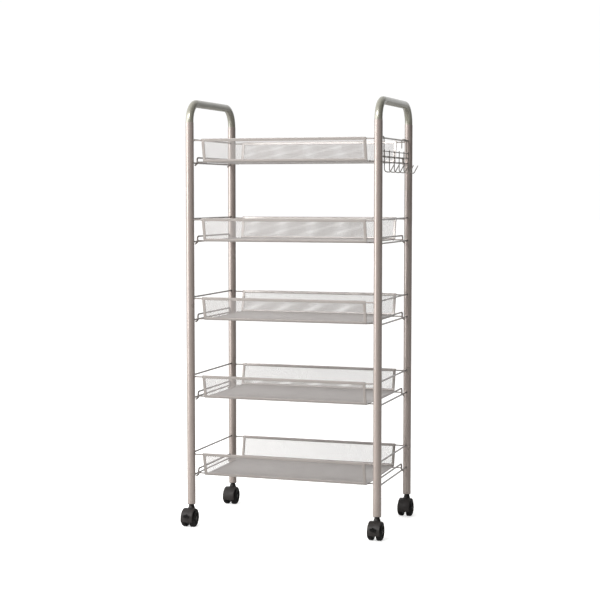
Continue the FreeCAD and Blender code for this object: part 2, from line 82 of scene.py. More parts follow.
def linear(hex_colour):
    """An sRGB hex value as the linear colour that a shader takes."""
    channels = [int(hex_colour[start:start + 2], 16) / 255 for start in (1, 3, 5)]
    return [c / 12.92 if c <= 0.04045 else ((c + 0.055) / 1.055) ** 2.4 for c in channels] + [1.0]


print("mid grey is", [round(c, 3) for c in linear("#808080")])

# %% [markdown]
# ## Silver powder coat
# The steel is powder coated in a silver that is nearly a metal: a polyester film with aluminium flake,
# sprayed dry and baked. It could be a plain metal, but then it would mirror the room too cleanly. Here
# a mostly metallic surface gets three things that baked powder shows: a soft roughness that drifts a
# little, an orange-peel ripple 1.5 mm across, and flakes that make the grey sparkle when it is close.


# %% Powder coat material
DRIFT_SIZE, FLAKE_SIZE, PEEL_SIZE, PEEL_DEPTH = 40 * MM, 0.7 * MM, 1.5 * MM, 0.05 * MM
FILM_WEIGHT, FILM_ROUGHNESS = 0.55, 0.16


def powder_coat(name, colour, shade, metallic, roughness):
    """Baked silver powder: two close greys, flakes, an orange-peel ripple, and a thin clear film."""
    material = bpy.data.materials.new(name)
    material.use_nodes = True
    tree = material.node_tree
    shader = tree.nodes["Principled BSDF"]
    shader.inputs["Metallic"].default_value = metallic
    shader.inputs["Coat Weight"].default_value = FILM_WEIGHT
    shader.inputs["Coat Roughness"].default_value = FILM_ROUGHNESS
    place = add(tree, "ShaderNodeTexCoord").outputs["Object"]
    drift = add(tree, "ShaderNodeTexNoise", {"Vector": place, "Scale": 1 / DRIFT_SIZE, "Detail": 2.0})
    flakes = add(tree, "ShaderNodeTexVoronoi", {"Vector": place, "Scale": 1 / FLAKE_SIZE})
    grey = add(tree, "ShaderNodeMix", {0: drift.outputs["Fac"], 6: linear(colour), 7: linear(shade)},
               data_type="RGBA")
    sparkle = add(tree, "ShaderNodeMapRange", {"Value": flakes.outputs["Color"], "To Min": 0.93,
                                               "To Max": 1.07})
    coat = add(tree, "ShaderNodeMix", {0: 1.0, 6: grey.outputs[2], 7: sparkle.outputs["Result"]},
               data_type="RGBA", blend_type="MULTIPLY")
    tree.links.new(coat.outputs[2], shader.inputs["Base Color"])
    rough = add(tree, "ShaderNodeMapRange", {"Value": drift.outputs["Fac"], "From Min": 0.3,
                                             "From Max": 0.7, "To Min": roughness - 0.03,
                                             "To Max": roughness + 0.04})
    tree.links.new(rough.outputs["Result"], shader.inputs["Roughness"])
    peel = add(tree, "ShaderNodeTexNoise", {"Vector": place, "Scale": 1 / PEEL_SIZE, "Detail": 1.0})
    bump = add(tree, "ShaderNodeBump", {"Height": peel.outputs["Fac"], "Strength": 0.12,
                                        "Distance": PEEL_DEPTH})
    tree.links.new(bump.outputs["Normal"], shader.inputs["Normal"])
    return material


post_coat = powder_coat("silver_powder_coat_post", "#9a8f89", "#8e837d", 0.35, 0.3)
# The handles' olive tint is painted reflection: they are the same silver coat as the posts, coloured with
# the hue that reflections give them.
handle_coat_painted_reflection = powder_coat("silver_powder_coat_handle", "#8b897e", "#807e72", 0.35, 0.32)
wire_coat = powder_coat("silver_powder_coat_wire", "#807975", "#726b67", 0.4, 0.34)
rack_coat = powder_coat("silver_powder_coat_rack", "#77726d", "#69645f", 0.5, 0.36)
band_coat = powder_coat("silver_powder_coat_band", "#96908c", "#88827e", 0.4, 0.38)
mesh_coat = powder_coat("silver_powder_coat_mesh", "#a8a3a1", "#989492", 0.35, 0.42)
print("powder coats:", [coat.name for coat in bpy.data.materials if "powder" in coat.name])

# %% [markdown]
# ## Black nylon and zinc
# The casters are moulded nylon. The tool's face is spark eroded, which leaves a fine even grain, and use
# leaves cloudy scuffs. The grain is drawn 0.8 mm coarse, about three times its real size, so that it
# shows. The stems and axles are zinc-plated steel: bright, with a faint streak.


# %% Nylon and zinc materials
NYLON_IOR = 1.53
SCUFF_SIZE, GRAIN_SIZE, GRAIN_DEPTH = 9 * MM, 0.8 * MM, 0.1 * MM
STREAK_SIZE = 0.6 * MM


def moulded_nylon(name, colour, mottle, roughness, gloss, grain):
    """Black nylon from an eroded tool: a fine grain in the gloss and in the surface."""
    material = bpy.data.materials.new(name)
    material.use_nodes = True
    tree = material.node_tree
    shader = tree.nodes["Principled BSDF"]
    shader.inputs["IOR"].default_value = NYLON_IOR
    shader.inputs["Specular IOR Level"].default_value = gloss
    place = add(tree, "ShaderNodeTexCoord").outputs["Object"]
    cloud = add(tree, "ShaderNodeTexNoise", {"Vector": place, "Scale": 1 / SCUFF_SIZE, "Detail": 4.0})
    tint = add(tree, "ShaderNodeMix", {0: cloud.outputs["Fac"], 6: linear(colour), 7: linear(mottle)},
               data_type="RGBA")
    tree.links.new(tint.outputs[2], shader.inputs["Base Color"])
    rough = add(tree, "ShaderNodeMapRange", {"Value": cloud.outputs["Fac"], "From Min": 0.3,
                                             "From Max": 0.7, "To Min": roughness - 0.05,
                                             "To Max": roughness + 0.08})
    tree.links.new(rough.outputs["Result"], shader.inputs["Roughness"])
    pits = add(tree, "ShaderNodeTexNoise", {"Vector": place, "Scale": 1 / GRAIN_SIZE, "Detail": 3.0})
    bump = add(tree, "ShaderNodeBump", {"Height": pits.outputs["Fac"], "Strength": grain,
                                        "Distance": GRAIN_DEPTH})
    tree.links.new(bump.outputs["Normal"], shader.inputs["Normal"])
    return material


def zinc_plate(name):
    """Zinc on turned steel: a bright metal with a fine uneven streak."""
    material = bpy.data.materials.new(name)
    material.use_nodes = True
    tree = material.node_tree
    shader = tree.nodes["Principled BSDF"]
    shader.inputs["Metallic"].default_value = 1.0
    place = add(tree, "ShaderNodeTexCoord").outputs["Object"]
    lines = add(tree, "ShaderNodeTexNoise", {"Vector": place, "Scale": 1 / STREAK_SIZE, "Detail": 2.0})
    tint = add(tree, "ShaderNodeMix", {0: lines.outputs["Fac"], 6: linear("#c9cbcf"),
                                       7: linear("#a9abb0")}, data_type="RGBA")
    tree.links.new(tint.outputs[2], shader.inputs["Base Color"])
    rough = add(tree, "ShaderNodeMapRange", {"Value": lines.outputs["Fac"], "To Min": 0.22, "To Max": 0.4})
    tree.links.new(rough.outputs["Result"], shader.inputs["Roughness"])
    return material


hood_nylon = moulded_nylon("black_nylon_hood", "#241f1d", "#1c1817", 0.56, 0.3, 0.25)
wheel_nylon = moulded_nylon("black_nylon_wheel", "#0c0909", "#080606", 0.5, 0.14, 0.3)
lever_nylon = moulded_nylon("black_nylon_lever", "#0b0909", "#070606", 0.42, 0.16, 0.2)
plug_nylon = moulded_nylon("black_nylon_plug", "#141212", "#0e0d0d", 0.5, 0.25, 0.2)
zinc = zinc_plate("zinc_plated_steel")
print("materials so far:", len(bpy.data.materials))

# %% [markdown]
# ## Trees with named inputs
# A Geometry Nodes tree is a small machine with labelled knobs. The first function makes an empty tree
# with its knobs. The second puts the tree on a source object, turns the knobs by their identifiers,
# evaluates it once, and keeps the result as a plain mesh, so that no modifier is left on any piece.


# %% Make a tree, and bake one into a piece
SOCKETS = {"float": "NodeSocketFloat", "int": "NodeSocketInt", "material": "NodeSocketMaterial",
           "vector": "NodeSocketVector"}


def new_tree(name, **knobs):
    tree = bpy.data.node_groups.new(name, "GeometryNodeTree")
    tree.interface.new_socket("Geometry", in_out="INPUT", socket_type="NodeSocketGeometry")
    tree.interface.new_socket("Geometry", in_out="OUTPUT", socket_type="NodeSocketGeometry")
    for knob, kind in knobs.items():
        tree.interface.new_socket(knob, in_out="INPUT", socket_type=SOCKETS[kind])
    return tree, tree.nodes.new("NodeGroupInput").outputs, tree.nodes.new("NodeGroupOutput").inputs


def smooth(mesh, degrees=35):
    mesh.shade_smooth()
    mesh.set_sharp_from_angle(angle=math.radians(degrees))


def bake(source, piece_name, tree=None, **knobs):
    """The evaluated source as a new plain mesh object. The source is removed."""
    if tree:
        modifier = source.modifiers.new("shape", "NODES")
        modifier.node_group = tree
        for item in tree.interface.items_tree:
            if item.in_out == "INPUT" and item.name in knobs:
                modifier[item.identifier] = knobs[item.name]
    graph = bpy.context.evaluated_depsgraph_get()
    mesh = bpy.data.meshes.new_from_object(source.evaluated_get(graph), depsgraph=graph)
    bpy.data.objects.remove(source)
    mesh.name = piece_name
    smooth(mesh)
    piece = bpy.data.objects.new(piece_name, mesh)
    bpy.context.scene.collection.objects.link(piece)
    return piece


def place_piece(piece, body, slot, *nodes):
    """Hang a finished piece on the body it rides on and hide the frame's parts it takes the place of. The
    slot is not used.
    """
    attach(piece, body)
    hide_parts(*nodes)


print("helpers ready")

# %% [markdown]
# ## Bent round wire
# Handles, rods, guards, ties and hooks are all the same thing: round steel bent on a former. Modelling
# each tube face by face would be slow and would kink at the bends. A sharp-cornered path is drawn
# instead, with the bend radius and the thickness written on its points, and one tree fillets the
# corners, sweeps a circle along it, and closes each end with a ball that is also the weld's nugget.

# %% The bent wire tree
wire_tree, knob, out = new_tree("bent_wire", Sides="int", Steps="int", Nugget="float", Coat="material")
bend_radius = add(wire_tree, "GeometryNodeInputNamedAttribute", {"Name": "bend"}).outputs["Attribute"]
thickness = add(wire_tree, "GeometryNodeInputNamedAttribute", {"Name": "thick"}).outputs["Attribute"]
run = add(wire_tree, "GeometryNodeMeshToCurve", {"Mesh": knob["Geometry"]})
bent = add(wire_tree, "GeometryNodeFilletCurve", {
    "Curve": run.outputs[0], "Count": knob["Steps"], "Radius": bend_radius, "Limit Radius": True},
    mode="POLY")
ring = add(wire_tree, "GeometryNodeCurvePrimitiveCircle", {"Resolution": knob["Sides"], "Radius": 1.0})
swept = add(wire_tree, "GeometryNodeCurveToMesh", {
    "Curve": bent.outputs[0], "Profile Curve": ring.outputs[0], "Scale": thickness, "Fill Caps": True})
ends = add(wire_tree, "GeometryNodeCurveEndpointSelection")
ball = add(wire_tree, "GeometryNodeMeshIcoSphere", {"Radius": 1.0, "Subdivisions": 3})
ball_size = add(wire_tree, "ShaderNodeMath", {0: thickness, 1: knob["Nugget"]}, operation="MULTIPLY")
balls = add(wire_tree, "GeometryNodeInstanceOnPoints", {
    "Points": run.outputs[0], "Selection": ends.outputs[0], "Instance": ball.outputs[0],
    "Scale": ball_size.outputs[0]})
both = add(wire_tree, "GeometryNodeJoinGeometry", {0: swept.outputs[0]})
wire_tree.links.new(balls.outputs[0], both.inputs[0])
real = add(wire_tree, "GeometryNodeRealizeInstances", {0: both.outputs[0]})
coated = add(wire_tree, "GeometryNodeSetMaterial", {0: real.outputs[0], "Material": knob["Coat"]})
wire_tree.links.new(coated.outputs[0], out[0])


def bend_wires(piece_name, wires, coat, sides=12, steps=5, nugget=1.0):
    """One piece from a list of wires: each a diameter, its path's points, and a bend for each corner."""
    points, edges, bends, radii = [], [], [], []
    for diameter, path, corners in wires:
        first = len(points)
        points += [Vector(point) for point in path]
        edges += [(first + n, first + n + 1) for n in range(len(path) - 1)]
        bends += [0.0, *corners, 0.0]
        radii += [diameter / 2] * len(path)
    mesh = bpy.data.meshes.new(piece_name)
    mesh.from_pydata(points, edges, [])
    mesh.attributes.new("bend", "FLOAT", "POINT").data.foreach_set("value", bends)
    mesh.attributes.new("thick", "FLOAT", "POINT").data.foreach_set("value", radii)
    source = bpy.data.objects.new(piece_name + "_path", mesh)
    bpy.context.scene.collection.objects.link(source)
    piece = bake(source, piece_name, wire_tree, Sides=sides, Steps=steps, Nugget=nugget, Coat=coat)
    print(f"{piece_name}: {len(wires)} wires, {len(piece.data.polygons)} faces")
    return piece


# %% [markdown]
# ## Measuring the frame
# The sizes that place things are read from the frame: where each post stands, how thick it is, where
# each tray's rim lies. The sizes of a piece's own section, bends and bevels are named at the piece.

# %% Read posts, rods and rims
def span(node):
    """A node's lowest corner, highest corner and middle."""
    low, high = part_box(node)
    return low, high, (low + high) / 2


posts = {corner: span(f"{corner}_post") for corner in CORNERS}
post_radius = (posts["front_left"][1].x - posts["front_left"][0].x) / 2
post_top, post_foot = posts["front_left"][1].z, posts["front_left"][0].z
post_x = {side: posts[f"front_{side}"][2].x for side in SIDES}
post_y = {end: posts[f"{end}_left"][2].y for end in ("front", "rear")}
middle_x = (post_x["left"] + post_x["right"]) / 2
middle_y = (post_y["front"] + post_y["rear"]) / 2
rim_z = {tier: span(f"tier_{tier}_tray_bands")[1].z for tier in TIERS}
rod_low, rod_high, rod_middle = span("right_top_rods")
rod_diameter = rod_high.x - rod_low.x
print("rims at", [round(z, 3) for z in rim_z.values()], "post radius", round(post_radius, 4))

# %% [markdown]
# ## Posts
# Each post is a length of steel tube, cut square and deburred, so its ends catch a thin line of light.
# A turned outline gives that: the section of the wall with its two small chamfers, swung once about the
# post's axis. The same function later turns the wheels.


# %% Turn an outline about an axis
def turned(piece_name, outline, centre, axis, coat, sides=64, ring=False):
    """Swing (along, radius) points about an axis; ring joins the last point back to the first."""
    across = {"x": (Vector((0, 1, 0)), Vector((0, 0, 1))), "z": (Vector((1, 0, 0)), Vector((0, 1, 0)))}[axis]
    along = Vector((1, 0, 0)) if axis == "x" else Vector((0, 0, 1))
    shape = bmesh.new()
    rows = []
    for distance, radius in outline:
        if radius == 0:
            rows.append([shape.verts.new(centre + along * distance)] * sides)
            continue
        rows.append([shape.verts.new(centre + along * distance
                                     + across[0] * radius * math.cos(2 * math.pi * n / sides)
                                     + across[1] * radius * math.sin(2 * math.pi * n / sides))
                     for n in range(sides)])
    following = rows[1:] + rows[:1] if ring else rows[1:]
    for row, after in zip(rows, following):
        for n in range(sides):
            corners = dict.fromkeys((row[n], row[(n + 1) % sides], after[(n + 1) % sides], after[n]))
            if len(corners) > 2:
                shape.faces.new(corners)
    bmesh.ops.recalc_face_normals(shape, faces=shape.faces)
    mesh = bpy.data.meshes.new(piece_name)
    shape.to_mesh(mesh)
    shape.free()
    mesh.materials.append(coat)
    smooth(mesh)
    piece = bpy.data.objects.new(piece_name, mesh)
    bpy.context.scene.collection.objects.link(piece)
    return piece


# %% Turn the four posts
wall = 1.2 * MM
deburr = 0.4 * MM
bore = post_radius - wall
for corner in CORNERS:
    middle = posts[corner][2].copy()
    middle.z = 0
    section = [(post_foot, bore), (post_foot, post_radius - deburr), (post_foot + deburr, post_radius),
               (post_top - deburr, post_radius), (post_top, post_radius - deburr), (post_top, bore)]
    tube = turned(f"{corner}_post_tube", section, middle, "z", post_coat, ring=True)
    place_piece(tube, "frame", "post_paint", f"{corner}_post")
print("4 posts of", round(post_top - post_foot, 3), "m")

# %% [markdown]
# ## Handles, rods, guards and ties
# The handle is one tube bent twice over the two posts of a side, a millimetre thinner than they are, with
# a reduced spigot that slips inside them. The rods, guards and ties are drawn wire, welded where they
# meet. All of them come from the bent wire tree with different paths.

# %% Handles
handle_diameter = 19 * MM
handle_bend = 45 * MM
spigot_length, spigot_play = 25 * MM, 0.1 * MM
for side in SIDES:
    x = post_x[side]
    crown = span(f"{side}_handle")[1].z - handle_diameter / 2
    y0, y1 = post_y["front"], post_y["rear"]
    bow = [(x, y0, post_top), (x, y0, crown), (x, y1, crown), (x, y1, post_top)]
    wires = [(handle_diameter, bow, [handle_bend] * 2)]
    for y in (y0, y1):
        spigot = [(x, y, post_top - spigot_length), (x, y, post_top + MM)]
        wires.append(((bore - spigot_play) * 2, spigot, []))
    tube = bend_wires(f"{side}_handle_tube", wires, handle_coat_painted_reflection, sides=48, steps=20, nugget=0.9)
    place_piece(tube, "frame", "handle_paint", f"{side}_handle")

# %% Rods between the posts
NUGGET = 1.35
for side in SIDES:
    for kind in ("top", "lower"):
        low, high, middle = span(f"{side}_{kind}_rods")
        pitch = (high.z - low.z - rod_diameter) / (len(TIERS) - 1)
        heights = [low.z + rod_diameter / 2 + pitch * n for n in range(len(TIERS))]
        wires = [(rod_diameter, [(middle.x, low.y, z), (middle.x, high.y, z)], []) for z in heights]
        rods = bend_wires(f"{side}_{kind}_rod_set", wires, wire_coat, nugget=NUGGET)
        place_piece(rods, "frame", "rod_paint", f"{side}_{kind}_rods")

# %% Guard wires and tie wires of each tray
GUARD_LEG, GUARD_FOOT, GUARD_TOE = 45 * MM, 59.5 * MM, 63.5 * MM
guard_y = 111 * MM
guard_x = post_x["right"] - middle_x - 6 * MM
toe_reach = 5.2 * MM
guard_bends = [2.5 * MM, 7 * MM, 7 * MM, 2.5 * MM]
tie_diameter = 3.2 * MM
upper_tie_y, upper_tie_drop, lower_tie_drop = 142 * MM, 4 * MM, 55.8 * MM
tray_half = 207 * MM
for tier in TIERS:
    rim = rim_z[tier]
    guards, ties = [], []
    for sign in (-1, 1):
        legs = [(guard_x + toe_reach, -1, GUARD_TOE), (guard_x, -1, GUARD_FOOT), (guard_x, -1, GUARD_LEG),
                (guard_x, 1, GUARD_LEG), (guard_x, 1, GUARD_FOOT), (guard_x + toe_reach, 1, GUARD_TOE)]
        path = [(middle_x + sign * x, middle_y + end * guard_y, rim - drop) for x, end, drop in legs]
        guards.append((rod_diameter, path, guard_bends))
        for end in (-1, 1):
            for reach, y, drop in (
                    (post_x["right"] - middle_x - post_radius, upper_tie_y, upper_tie_drop),
                    (guard_x - rod_diameter / 2, guard_y, lower_tie_drop)):
                y += middle_y if end > 0 else -middle_y
                ties.append((tie_diameter, [(middle_x + sign * tray_half, end * y, rim - drop),
                                            (middle_x + sign * reach, end * y, rim - drop)], []))
    place_piece(bend_wires(f"tier_{tier}_guard_pair", guards, wire_coat), "frame", "guard_wires",
                f"tier_{tier}_guard_wires")
    place_piece(bend_wires(f"tier_{tier}_tie_set", ties, wire_coat, nugget=NUGGET), "frame", "guard_wires",
                f"tier_{tier}_tie_wires")

# %% [markdown]
# ## Hook rack
# A little rack of thinner wire hangs over the right top rod of the top tray. Two square hangers reach
# over the rod, two rails run along it, and six hooks drop from the rails and kick outwards. The hooks
# are one loop over a counter, because on the real one they are one bent blank, welded six times. The
# rack is given a darker grey than the frame.

# %% Bend the rack
rack_wire = 2.4 * MM
rack_low, rack_high = span("hook_rack")[:2]
top_rod = Vector((rod_middle.x, middle_y, rod_high.z - rod_diameter / 2))
rod_to_hooks, rail_set_in = 7 * MM, 0.4 * MM
stem_x = top_rod.x + rod_to_hooks
hook_floor = rack_low.z + rack_wire / 2
rail_drops = (33 * MM, 45 * MM)
rails = [rim_z[5] - drop for drop in rail_drops]
rail_x = stem_x - rack_wire + rail_set_in
half = (rack_high.y - rack_low.y) / 2
wires = [(rack_wire, [(rail_x, middle_y - half, z), (rail_x, middle_y + half, z)], []) for z in rails]
hooks, hook_pitch = 6, 46 * MM
hook_seat, hook_reach, hook_rise = 14 * MM, 24 * MM, 18 * MM
hook_bends = [8 * MM, 4 * MM]
for number in range(hooks):
    y = middle_y + (number - (hooks - 1) / 2) * hook_pitch
    wires.append((rack_wire, [(stem_x, y, rails[0] + rack_wire), (stem_x, y, hook_floor),
                              (stem_x + hook_seat, y, hook_floor),
                              (stem_x + hook_reach, y, hook_floor + hook_rise)], hook_bends))
hanger_y, hanger_play, hanger_reach, hanger_tail = 106 * MM, 0.3 * MM, 8 * MM, 18 * MM
loop = rod_diameter / 2 + hanger_play + rack_wire / 2
tail_x, tail_z = top_rod.x - hanger_reach, top_rod.z - hanger_tail
for end in (-1, 1):
    y = middle_y + end * hanger_y
    wires.append((rack_wire, [(top_rod.x + loop, y, rails[1] - rack_wire),
                              (top_rod.x + loop, y, top_rod.z + loop),
                              (tail_x, y, top_rod.z + loop), (tail_x, y, tail_z)], [loop, loop]))
rack = bend_wires("hook_rack_wire", wires, rack_coat, steps=8)
place_piece(rack, "hook_rack", "rack_wire", "hook_rack")

# %% [markdown]
# ## Expanded mesh
# The trays are lined with expanded steel: a sheet that is slit and pulled until every slit opens into a
# small diamond. A picture of diamonds on a plane would look flat from the side, and a woven cloth of
# thousands of bent strands would be far too heavy. Straight strands in two slanting families give
# the same diamonds. The tree works out where each strand enters and leaves its panel, lays one thin
# bar there, and tips it a little, as the pull does. Diamonds 6 by 3 mm are usual on such trays.

# %% The mesh panel tree
STRAND_TIP = math.radians(20)
panel_tree, knob, out = new_tree("mesh_panel", Width="float", Height="float", Long_Way="float",
                                 Short_Way="float", Strand="float", Sheet="float")


def maths(operation, first, second=0.0, tree=panel_tree):
    return add(tree, "ShaderNodeMath", {0: first, 1: second}, operation=operation).outputs[0]


diagonal = maths("SQRT", maths("ADD", maths("MULTIPLY", knob["Long_Way"], knob["Long_Way"]),
                               maths("MULTIPLY", knob["Short_Way"], knob["Short_Way"])))
sine = maths("DIVIDE", knob["Short_Way"], diagonal)
cosine = maths("DIVIDE", knob["Long_Way"], diagonal)
slant = maths("ARCTAN2", knob["Short_Way"], knob["Long_Way"])
strand_pitch = maths("MULTIPLY", knob["Long_Way"], sine)
reach = maths("ADD", maths("MULTIPLY", knob["Width"], sine), maths("MULTIPLY", knob["Height"], cosine))
strand_count = maths("ADD", maths("CEIL", maths("DIVIDE", reach, strand_pitch)), 1.0)
half_width = maths("MULTIPLY", knob["Width"], 0.5)
half_height = maths("MULTIPLY", knob["Height"], 0.5)
bar_size = add(panel_tree, "ShaderNodeCombineXYZ", {0: 1.0, 1: knob["Strand"], 2: knob["Sheet"]})
bar = add(panel_tree, "GeometryNodeMeshCube", {"Size": bar_size.outputs[0]})
families = add(panel_tree, "GeometryNodeJoinGeometry")
for lean in (-1.0, 1.0):
    row = add(panel_tree, "GeometryNodeMeshLine", {"Count": strand_count})
    middle_number = maths("MULTIPLY", maths("SUBTRACT", strand_count, 1.0), 0.5)
    step = maths("SUBTRACT", add(panel_tree, "GeometryNodeInputIndex").outputs[0], middle_number)
    offset = maths("MULTIPLY", step, strand_pitch)
    base_x = maths("MULTIPLY", maths("MULTIPLY", offset, sine), -lean)
    base_y = maths("MULTIPLY", offset, cosine)
    leaned_y = maths("MULTIPLY", base_y, lean)
    left_run = maths("SUBTRACT", maths("MULTIPLY", half_width, -1.0), base_x)
    low_run = maths("SUBTRACT", maths("MULTIPLY", half_height, -1.0), leaned_y)
    enter = maths("MAXIMUM", maths("DIVIDE", left_run, cosine), maths("DIVIDE", low_run, sine))
    leave = maths("MINIMUM", maths("DIVIDE", maths("SUBTRACT", half_width, base_x), cosine),
                  maths("DIVIDE", maths("SUBTRACT", half_height, leaned_y), sine))
    length = maths("SUBTRACT", leave, enter)
    centre = maths("MULTIPLY", maths("ADD", enter, leave), 0.5)
    spot = add(panel_tree, "ShaderNodeCombineXYZ", {
        0: maths("ADD", base_x, maths("MULTIPLY", centre, cosine)),
        1: maths("ADD", base_y, maths("MULTIPLY", maths("MULTIPLY", centre, sine), lean))})
    moved = add(panel_tree, "GeometryNodeSetPosition", {"Geometry": row.outputs[0],
                                                        "Position": spot.outputs[0]})
    tip = add(panel_tree, "ShaderNodeCombineXYZ", {0: STRAND_TIP, 2: maths("MULTIPLY", slant, lean)})
    turn = add(panel_tree, "FunctionNodeEulerToRotation", {0: tip.outputs[0]})
    stretch = add(panel_tree, "ShaderNodeCombineXYZ", {0: length, 1: 1.0, 2: 1.0})
    kept = maths("GREATER_THAN", length, strand_pitch)
    bars = add(panel_tree, "GeometryNodeInstanceOnPoints", {
        "Points": moved.outputs[0], "Selection": kept, "Instance": bar.outputs[0],
        "Rotation": turn.outputs[0], "Scale": stretch.outputs[0]})
    panel_tree.links.new(bars.outputs[0], families.inputs[0])
panel_tree.links.new(families.outputs[0], out[0])
print("mesh panel tree:", len(panel_tree.nodes), "nodes")

# %% [markdown]
# ## A folded tray of mesh
# One sheet is folded twice, so a tray has three flat panels: the floor and two walls that lean out. The
# next tree lays the same panel three times, slides and tips each copy, and makes the strands real. The
# floor panel is the widest, and the walls start where the fold's bend ends.

# %% The tray tree
tray_tree, knob, out = new_tree("folded_tray", Width="float", Floor="float", Wall="float", Lean="float",
                                Wall_Place="vector", Drop="vector", Coat="material")
parts = add(tray_tree, "GeometryNodeJoinGeometry")
DIAMOND = {"Long_Way": 6 * MM, "Short_Way": 3 * MM, "Strand": 0.6 * MM, "Sheet": 0.5 * MM}
flip = add(tray_tree, "ShaderNodeVectorMath", {0: knob["Wall_Place"], 1: (1.0, -1.0, 1.0)},
           operation="MULTIPLY")
for height, where, sign in ((knob["Floor"], None, 0), (knob["Wall"], knob["Wall_Place"], 1),
                            (knob["Wall"], flip.outputs[0], -1)):
    panel = add(tray_tree, "GeometryNodeGroup", node_tree=panel_tree)
    for name, value in {"Width": knob["Width"], "Height": height, **DIAMOND}.items():
        if isinstance(value, bpy.types.NodeSocket):
            tray_tree.links.new(value, panel.inputs[name])
        else:
            panel.inputs[name].default_value = value
    tilt = add(tray_tree, "ShaderNodeCombineXYZ", {0: maths("MULTIPLY", knob["Lean"], sign, tray_tree)})
    turn = add(tray_tree, "FunctionNodeEulerToRotation", {0: tilt.outputs[0]})
    moved = add(tray_tree, "GeometryNodeTransform", {0: panel.outputs[0], "Rotation": turn.outputs[0]})
    if where is not None:
        tray_tree.links.new(where, moved.inputs["Translation"])
    tray_tree.links.new(moved.outputs[0], parts.inputs[0])
real = add(tray_tree, "GeometryNodeRealizeInstances", {0: parts.outputs[0]})
dropped = add(tray_tree, "GeometryNodeTransform", {0: real.outputs[0], "Translation": knob["Drop"]})
coated = add(tray_tree, "GeometryNodeSetMaterial", {0: dropped.outputs[0], "Material": knob["Coat"]})
tray_tree.links.new(coated.outputs[0], out[0])
print("folded tray tree:", len(tray_tree.nodes), "nodes")

# %% Lay the mesh in the five trays
band_width, band_thick, tray_height = 7 * MM, 2.4 * MM, 57 * MM
floor_drop = tray_height - band_thick / 2
rim_half, floor_half = 143 * MM, 130 * MM
slope = (rim_half - floor_half) / floor_drop
lean = math.atan2(1, slope)
tuck = 2 * MM
wall_top, wall_foot = band_width - tuck, tray_height - band_width + tuck
wall_middle = (wall_top + wall_foot) / 2
wall_length = (wall_foot - wall_top) * math.hypot(1, slope)
wall_place = (0.0, rim_half - slope * wall_middle, floor_drop - wall_middle)
for tier in TIERS:
    source = bpy.data.objects.new("sheet", bpy.data.meshes.new("sheet"))
    bpy.context.scene.collection.objects.link(source)
    sheet = bake(source, f"tier_{tier}_mesh_sheet", tray_tree, Width=(tray_half - band_width + tuck) * 2,
                 Floor=(floor_half - band_width + tuck) * 2, Wall=wall_length, Lean=lean,
                 Wall_Place=wall_place, Drop=(middle_x, middle_y, rim_z[tier] - floor_drop), Coat=mesh_coat)
    sheet.data.shade_flat()
    place_piece(sheet, "frame", "tray_mesh", f"tier_{tier}_tray_mesh")
print("one mesh sheet has", len(sheet.data.polygons), "faces")

# %% [markdown]
# ## Steel bands
# A band of flat steel hems the mesh along its rims, its two folds and its open ends, and is folded with
# it. It could be swept bar by bar, but then the corners would not join. Here the whole sheet is drawn
# once as a coarse net with the windows left out, thickened, and bevelled, so the bands run
# into each other round the folds as pressed steel does.

# %% Fold the band frame
fold_radius, fold_steps = 4 * MM, 5
band_edge = 0.7 * MM


def folded_line():
    """Half of the tray's section, from the rim to the middle, as (y, z) points below the rim."""
    def on_wall(drop):
        return rim_half - slope * drop, -drop

    corner = Vector(on_wall(floor_drop))
    up = (Vector(on_wall(0)) - corner).normalized()
    inward = Vector((-1, 0))
    half_angle = up.angle(inward) / 2
    setback = fold_radius / math.tan(half_angle)
    centre = corner + (up + inward).normalized() * fold_radius / math.sin(half_angle)
    start, end = corner + up * setback - centre, corner + inward * setback - centre
    arc = [centre + start.slerp(end, n / fold_steps).normalized() * fold_radius
           for n in range(fold_steps + 1)]
    return [Vector(on_wall(0)), Vector(on_wall(band_width)), Vector(on_wall(tray_height - band_width)), *arc,
            Vector((floor_half - band_width, -floor_drop))]


def band_frame(piece_name, rim):
    half_line = folded_line()
    line = half_line + [Vector((-y, z)) for y, z in reversed(half_line)]
    stations = [-tray_half, band_width - tray_half, tray_half - band_width, tray_half]
    wall_window, floor_window = 1, len(half_line) - 1
    windows = (wall_window, floor_window, len(line) - 2 - wall_window)
    shape = bmesh.new()
    net = [[shape.verts.new((middle_x + x, middle_y + y, rim + z)) for x in stations] for y, z in line]
    for row in range(len(line) - 1):
        for column in range(len(stations) - 1):
            if column != 1 or row not in windows:
                shape.faces.new((net[row][column], net[row][column + 1], net[row + 1][column + 1],
                                 net[row + 1][column]))
    mesh = bpy.data.meshes.new(piece_name)
    shape.to_mesh(mesh)
    shape.free()
    mesh.materials.append(band_coat)
    source = bpy.data.objects.new("bands", mesh)
    bpy.context.scene.collection.objects.link(source)
    thick = source.modifiers.new("thick", "SOLIDIFY")
    thick.thickness, thick.offset, thick.use_even_offset = band_thick, 0, True
    edge = source.modifiers.new("edge", "BEVEL")
    edge.width, edge.segments, edge.limit_method, edge.angle_limit = band_edge, 3, "ANGLE", math.radians(40)
    return bake(source, piece_name)


for tier in TIERS:
    bands = band_frame(f"tier_{tier}_band_frame", rim_z[tier])
    place_piece(bands, "frame", "tray_bands", f"tier_{tier}_tray_bands")
print("one band frame has", len(bands.data.polygons), "faces")

# %% [markdown]
# ## Wheels
# Each caster carries two moulded wheels. The tread is flat with round shoulders, the outer face is a
# shallow dish with a raised hub, and ribs stiffen the dish. The disc is turned from its outline like
# the posts. The ribs repeat round the axle, so a tree sets them out by angle.

